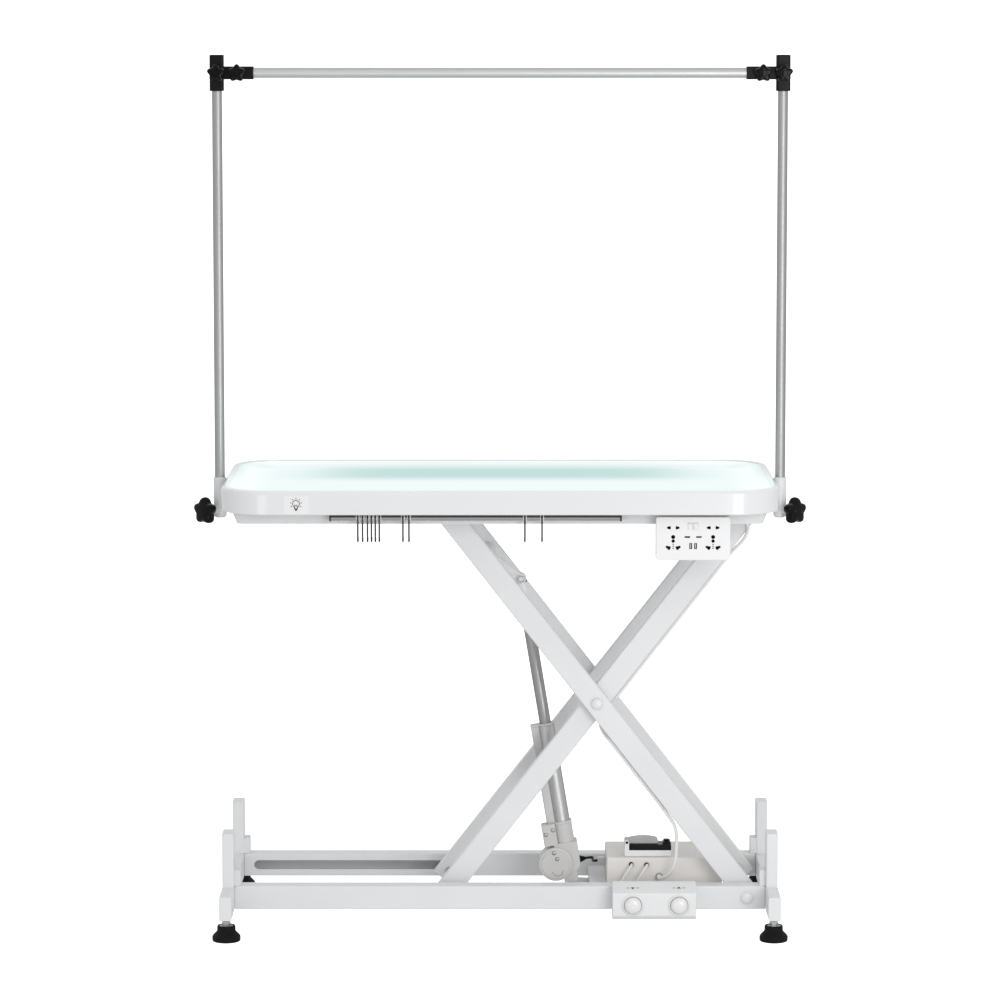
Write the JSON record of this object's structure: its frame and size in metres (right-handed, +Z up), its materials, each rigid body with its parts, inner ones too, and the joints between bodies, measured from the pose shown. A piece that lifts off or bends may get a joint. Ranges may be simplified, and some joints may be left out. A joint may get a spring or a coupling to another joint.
{
  "type": "pet grooming table",
  "caption": "Electric scissor-lift grooming table with a lit top, an adjustable overhead bar on side poles, a foot control, a hook rail and an outlet box.",
  "frame": {"origin": "on the floor, under the middle of the table", "axes": "+Z up, +X to the right along the table, +Y away from the groomer, so that the foot control is on the -Y side"},
  "size_m": [1.3738, 0.66, 1.964],
  "materials": {
    "white_paint": "satin powder coat",
    "rim_plastic": "gloss",
    "lit_panel": "translucent, lit from its edges",
    "light_strip": "lit",
    "white_plastic": "satin",
    "beige_plastic": "fine texture",
    "grey_plastic": "matte",
    "black_plastic": "matte",
    "black_rubber": "matte",
    "aluminium": "satin",
    "cast_grey": "painted casting",
    "motor_shell": "satin black",
    "steel": "brushed",
    "cable_white": "smooth sheath",
    "cable_black": "smooth sheath"
  },
  "bodies": {
    "base": {"end_frame_left": "white_paint", "end_frame_right": "white_paint", "base_rail_front": "white_paint", "base_rail_rear": "white_paint", "actuator_beam": "white_paint", "control_box": "beige_plastic", "breaker_body": "black_plastic", "pedal_box": "white_plastic", "pedal_cable_left": "cable_white", "pedal_cable_right": "cable_white", "motor_cable": "cable_black", "power_cable_lower": "cable_white"},
    "breaker_lid": {"breaker_lid": "grey_plastic"},
    "pedal_button_down": {"pedal_button_down": "white_plastic"},
    "pedal_button_up": {"pedal_button_up": "white_plastic"},
    "foot_front_left": {"foot_front_left": "black_rubber"},
    "foot_front_right": {"foot_front_right": "black_rubber"},
    "foot_rear_left": {"foot_rear_left": "black_rubber"},
    "foot_rear_right": {"foot_rear_right": "black_rubber"},
    "arm_a": {"arm_a_front": "white_paint", "arm_a_rear": "white_paint", "arm_a_cross_tube": "white_paint", "power_cable_middle": "cable_white"},
    "top_rollers": {"top_roller_front": "grey_plastic", "top_roller_rear": "grey_plastic"},
    "arm_b": {"arm_b_front": "white_paint", "arm_b_rear": "white_paint", "base_axle": "steel", "power_cable_upper": "cable_white"},
    "base_rollers": {"base_roller_front": "grey_plastic", "base_roller_rear": "grey_plastic"},
    "actuator": {"actuator_tube": "aluminium", "gear_housing": "cast_grey", "motor": "motor_shell"},
    "actuator_rod": {"rod": "steel"},
    "table": {"table_rim": "rim_plastic", "light_panel": "lit_panel", "led_strip": "light_strip", "under_pan": "white_paint", "top_track_front": "white_paint", "top_track_rear": "white_paint", "hook_rail": "steel", "socket_box": "white_plastic", "clamp_left": "white_paint", "clamp_right": "white_paint"},
    "rocker_left": {"rocker_left": "white_plastic"},
    "rocker_right": {"rocker_right": "white_plastic"},
    "hook_left": {"hook_left": "steel"},
    "hook_right": {"hook_right": "steel"},
    "poles": {"pole_left": "aluminium", "pole_right": "aluminium"},
    "overhead_bar": {"cross_bar": "aluminium", "corner_left": "black_plastic", "corner_right": "black_plastic"},
    "clamp_knob_left": {"clamp_knob_left": "black_plastic"},
    "clamp_knob_right": {"clamp_knob_right": "black_plastic"},
    "pole_knob_left": {"pole_knob_left": "black_plastic"},
    "pole_knob_right": {"pole_knob_right": "black_plastic"},
    "bar_knob_left": {"bar_knob_left": "black_plastic"},
    "bar_knob_right": {"bar_knob_right": "black_plastic"}
  },
  "joints": [
    {"name": "lift", "type": "hinge", "parent": "base", "child": "arm_a", "pos_m": [0.556, 0, 0.0795], "axis": [0, -1, 0], "range_deg": [0, 45], "deforming": ["power_cable_lower"]},
    {"name": "arm_b_hinge", "type": "hinge", "parent": "arm_a", "child": "arm_b", "pos_m": [0.21844, 0, 0.51233], "axis": [0, -1, 0], "range_deg": [-90, 0], "deforming": ["power_cable_middle"]},
    {"name": "table_hinge", "type": "hinge", "parent": "arm_b", "child": "table", "pos_m": [0.556, 0, 0.94517], "axis": [0, -1, 0], "range_deg": [0, 45], "deforming": ["power_cable_upper"]},
    {"name": "actuator_hinge", "type": "hinge", "parent": "base", "child": "actuator", "pos_m": [0.167, 0, 0.062], "axis": [0, -1, 0], "range_deg": [0, 62.5], "deforming": ["motor_cable"]},
    {"name": "actuator_slide", "type": "slide", "parent": "actuator", "child": "actuator_rod", "axis": [-0.1639, 0, 0.9865], "range_m": [-0.2376, 0]},
    {"name": "base_rollers_spin", "type": "hinge", "parent": "arm_b", "child": "base_rollers", "pos_m": [-0.11912, 0, 0.0795], "axis": [0, 1, 0], "continuous": true},
    {"name": "top_rollers_spin", "type": "hinge", "parent": "arm_a", "child": "top_rollers", "pos_m": [-0.11912, 0, 0.94517], "axis": [0, 1, 0], "continuous": true},
    {"name": "poles_height", "type": "slide", "parent": "table", "child": "poles", "axis": [0, 0, 1], "range_m": [-0.18, 0]},
    {"name": "bar_height", "type": "slide", "parent": "poles", "child": "overhead_bar", "axis": [0, 0, 1], "range_m": [-0.68, 0]},
    {"name": "clamp_knob_left_turn", "type": "hinge", "parent": "table", "child": "clamp_knob_left", "pos_m": [-0.6365, 0, 0.93567], "axis": [-0.7071, -0.7071, 0], "continuous": true},
    {"name": "pole_knob_left_turn", "type": "hinge", "parent": "overhead_bar", "child": "pole_knob_left", "pos_m": [-0.6365, 0, 1.9235], "axis": [0, -1, 0], "continuous": true},
    {"name": "bar_knob_left_turn", "type": "hinge", "parent": "overhead_bar", "child": "bar_knob_left", "pos_m": [-0.58975, 0, 1.9235], "axis": [0, -1, 0], "continuous": true},
    {"name": "clamp_knob_right_turn", "type": "hinge", "parent": "table", "child": "clamp_knob_right", "pos_m": [0.6365, 0, 0.93567], "axis": [0.7071, -0.7071, 0], "continuous": true},
    {"name": "pole_knob_right_turn", "type": "hinge", "parent": "overhead_bar", "child": "pole_knob_right", "pos_m": [0.6365, 0, 1.9235], "axis": [0, -1, 0], "continuous": true},
    {"name": "bar_knob_right_turn", "type": "hinge", "parent": "overhead_bar", "child": "bar_knob_right", "pos_m": [0.58975, 0, 1.9235], "axis": [0, -1, 0], "continuous": true},
    {"name": "pedal_button_down_press", "type": "slide", "parent": "base", "child": "pedal_button_down", "axis": [0, 1, 0], "range_m": [0, 0.004], "stiffness_N_per_m": 900, "springref_m": -0.002},
    {"name": "pedal_button_up_press", "type": "slide", "parent": "base", "child": "pedal_button_up", "axis": [0, 1, 0], "range_m": [0, 0.004], "stiffness_N_per_m": 900, "springref_m": -0.002},
    {"name": "rocker_left_tip", "type": "hinge", "parent": "table", "child": "rocker_left", "pos_m": [0.41975, -0.3023, 0.93417], "axis": [1, 0, 0], "range_deg": [-8, 8]},
    {"name": "rocker_right_tip", "type": "hinge", "parent": "table", "child": "rocker_right", "pos_m": [0.43225, -0.3023, 0.93417], "axis": [1, 0, 0], "range_deg": [-8, 8]},
    {"name": "breaker_lid_hinge", "type": "hinge", "parent": "base", "child": "breaker_lid", "pos_m": [0.289, -0.058, 0.1809], "axis": [0, -1, 0], "range_deg": [0, 35]},
    {"name": "foot_front_left_turn", "type": "hinge", "parent": "base", "child": "foot_front_left", "pos_m": [-0.611, -0.29, 0], "axis": [0, 0, 1], "continuous": true},
    {"name": "foot_front_right_turn", "type": "hinge", "parent": "base", "child": "foot_front_right", "pos_m": [0.611, -0.29, 0], "axis": [0, 0, 1], "continuous": true},
    {"name": "foot_rear_left_turn", "type": "hinge", "parent": "base", "child": "foot_rear_left", "pos_m": [-0.611, 0.29, 0], "axis": [0, 0, 1], "continuous": true},
    {"name": "foot_rear_right_turn", "type": "hinge", "parent": "base", "child": "foot_rear_right", "pos_m": [0.611, 0.29, 0], "axis": [0, 0, 1], "continuous": true},
    {"name": "hook_left_slide", "type": "slide", "parent": "table", "child": "hook_left", "axis": [1, 0, 0], "range_m": [-0.035, 0.12]},
    {"name": "hook_right_slide", "type": "slide", "parent": "table", "child": "hook_right", "axis": [1, 0, 0], "range_m": [-0.095, 0.15]}
  ],
  "couplings": [
    {"joint": "arm_b_hinge", "follows": "lift", "ratio": -2},
    {"joint": "table_hinge", "follows": "lift", "ratio": 1},
    {"joint": "actuator_hinge", "follows": "lift", "ratio": 1.3868},
    {"joint": "actuator_slide", "follows": "lift", "m_per_rad": -0.30225}
  ]
}
